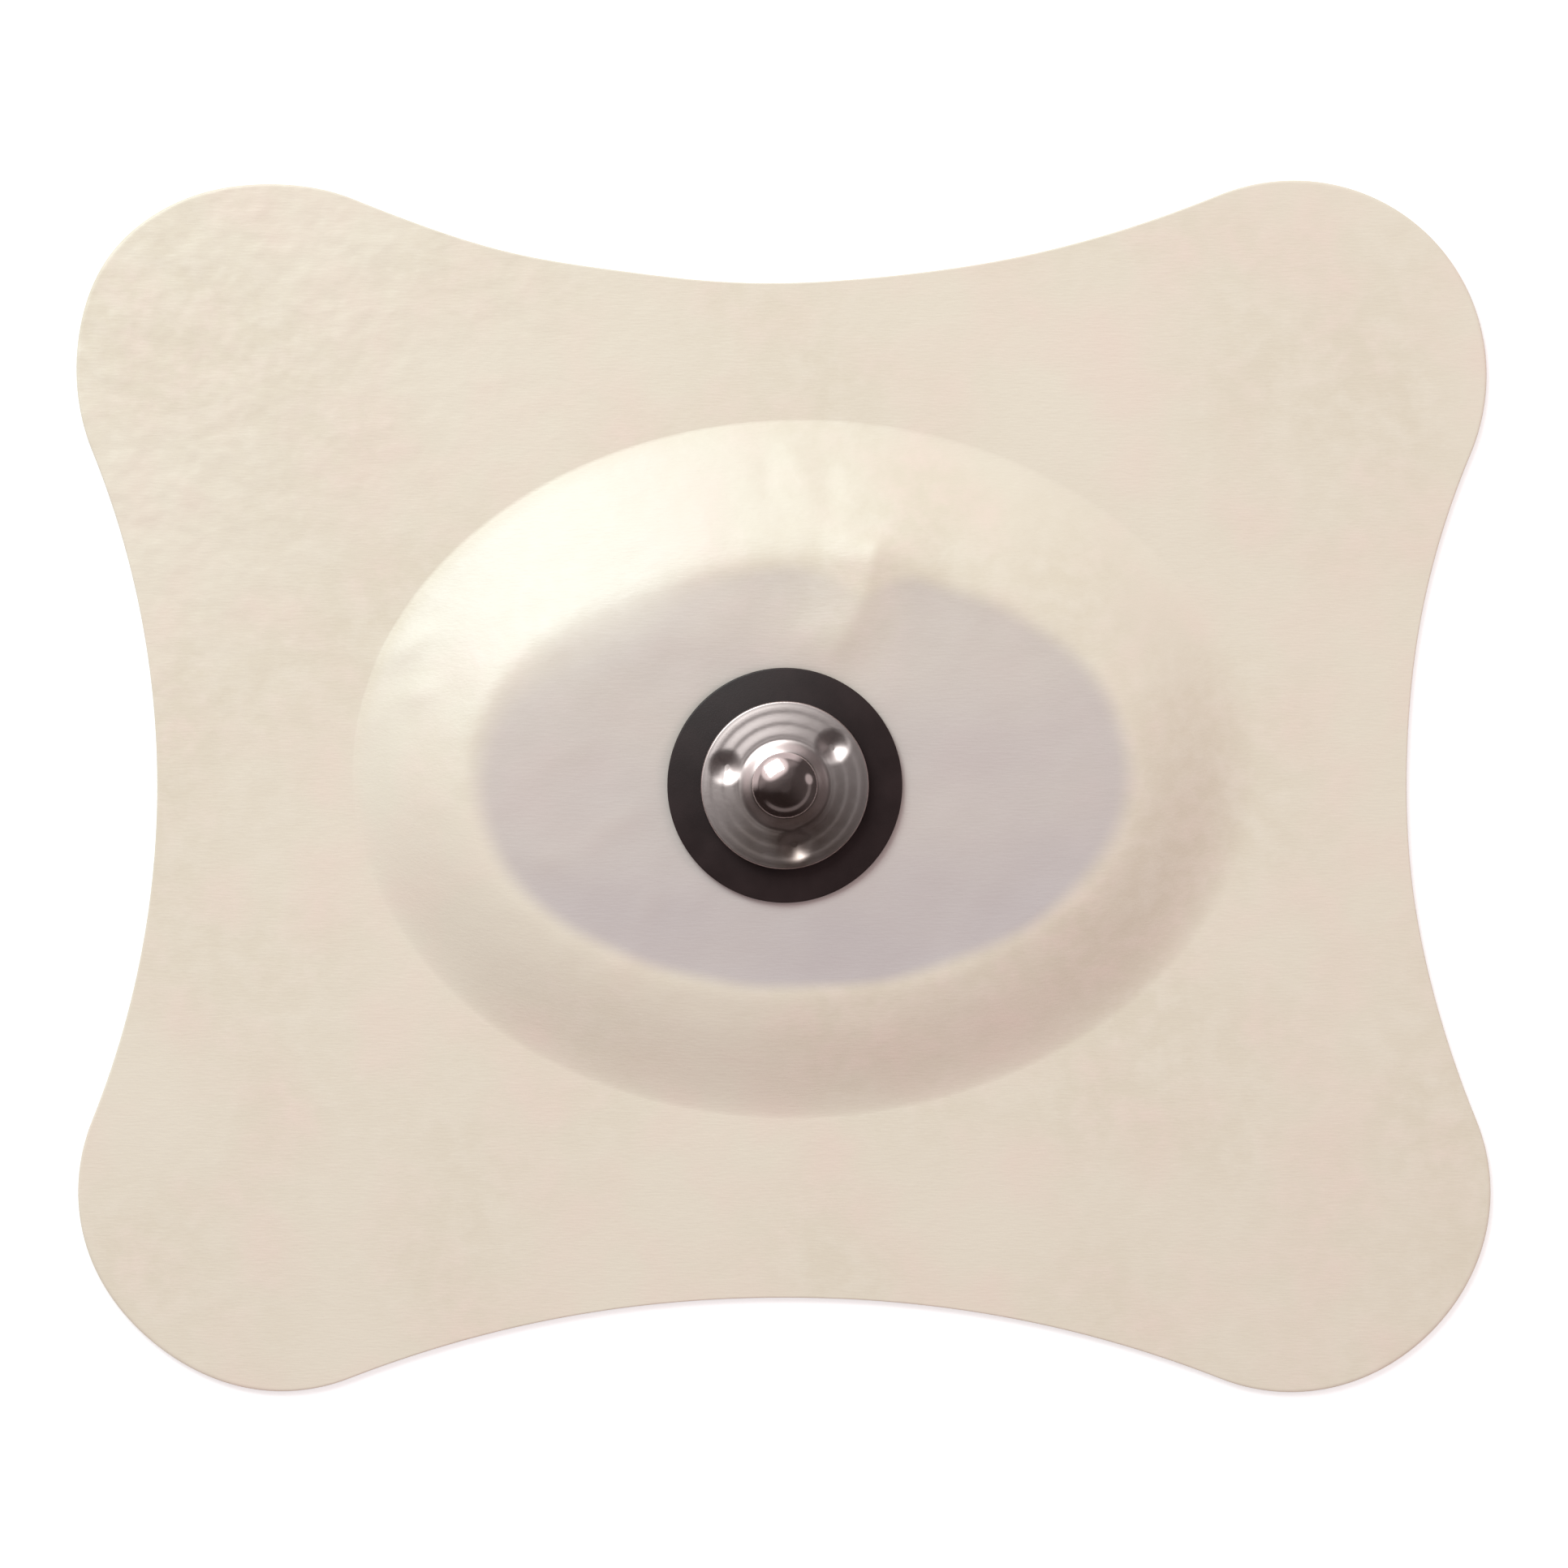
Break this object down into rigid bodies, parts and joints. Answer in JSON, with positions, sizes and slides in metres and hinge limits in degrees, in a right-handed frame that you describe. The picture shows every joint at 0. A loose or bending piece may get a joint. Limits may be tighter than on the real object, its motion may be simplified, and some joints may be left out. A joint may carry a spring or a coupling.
{
  "type": "iontophoresis electrode",
  "caption": "Four-lobed adhesive skin patch with a raised oval drug pad and a metal snap stud for the lead.",
  "frame": {"origin": "middle of the patch's outline, on the adhesive face that the patch lies on", "axes": "+X along the patch's long axis, +Y along its short axis, +Z out of the snap stud"},
  "size_m": [0.087, 0.0748, 0.0075],
  "materials": {
    "nonwoven_tape": "cream spunlaced nonwoven tape, matt and slightly mottled",
    "silver_coated_film": "satin silver coating on thin plastic film",
    "absorbent_felt": "white absorbent fibre pad",
    "silver_plated_brass": "silver plate on drawn brass",
    "black_plastic": "black moulded plastic with a slight sheen",
    "nickel_plated_brass": "bright nickel plate on stamped brass"
  },
  "bodies": {
    "root": {"backing_sheet": "nonwoven_tape", "conductive_film": "silver_coated_film", "reservoir_pad": "absorbent_felt", "snap_eyelet": "silver_plated_brass", "snap_washer": "black_plastic", "snap_stud": "nickel_plated_brass"}
  },
  "joints": []
}
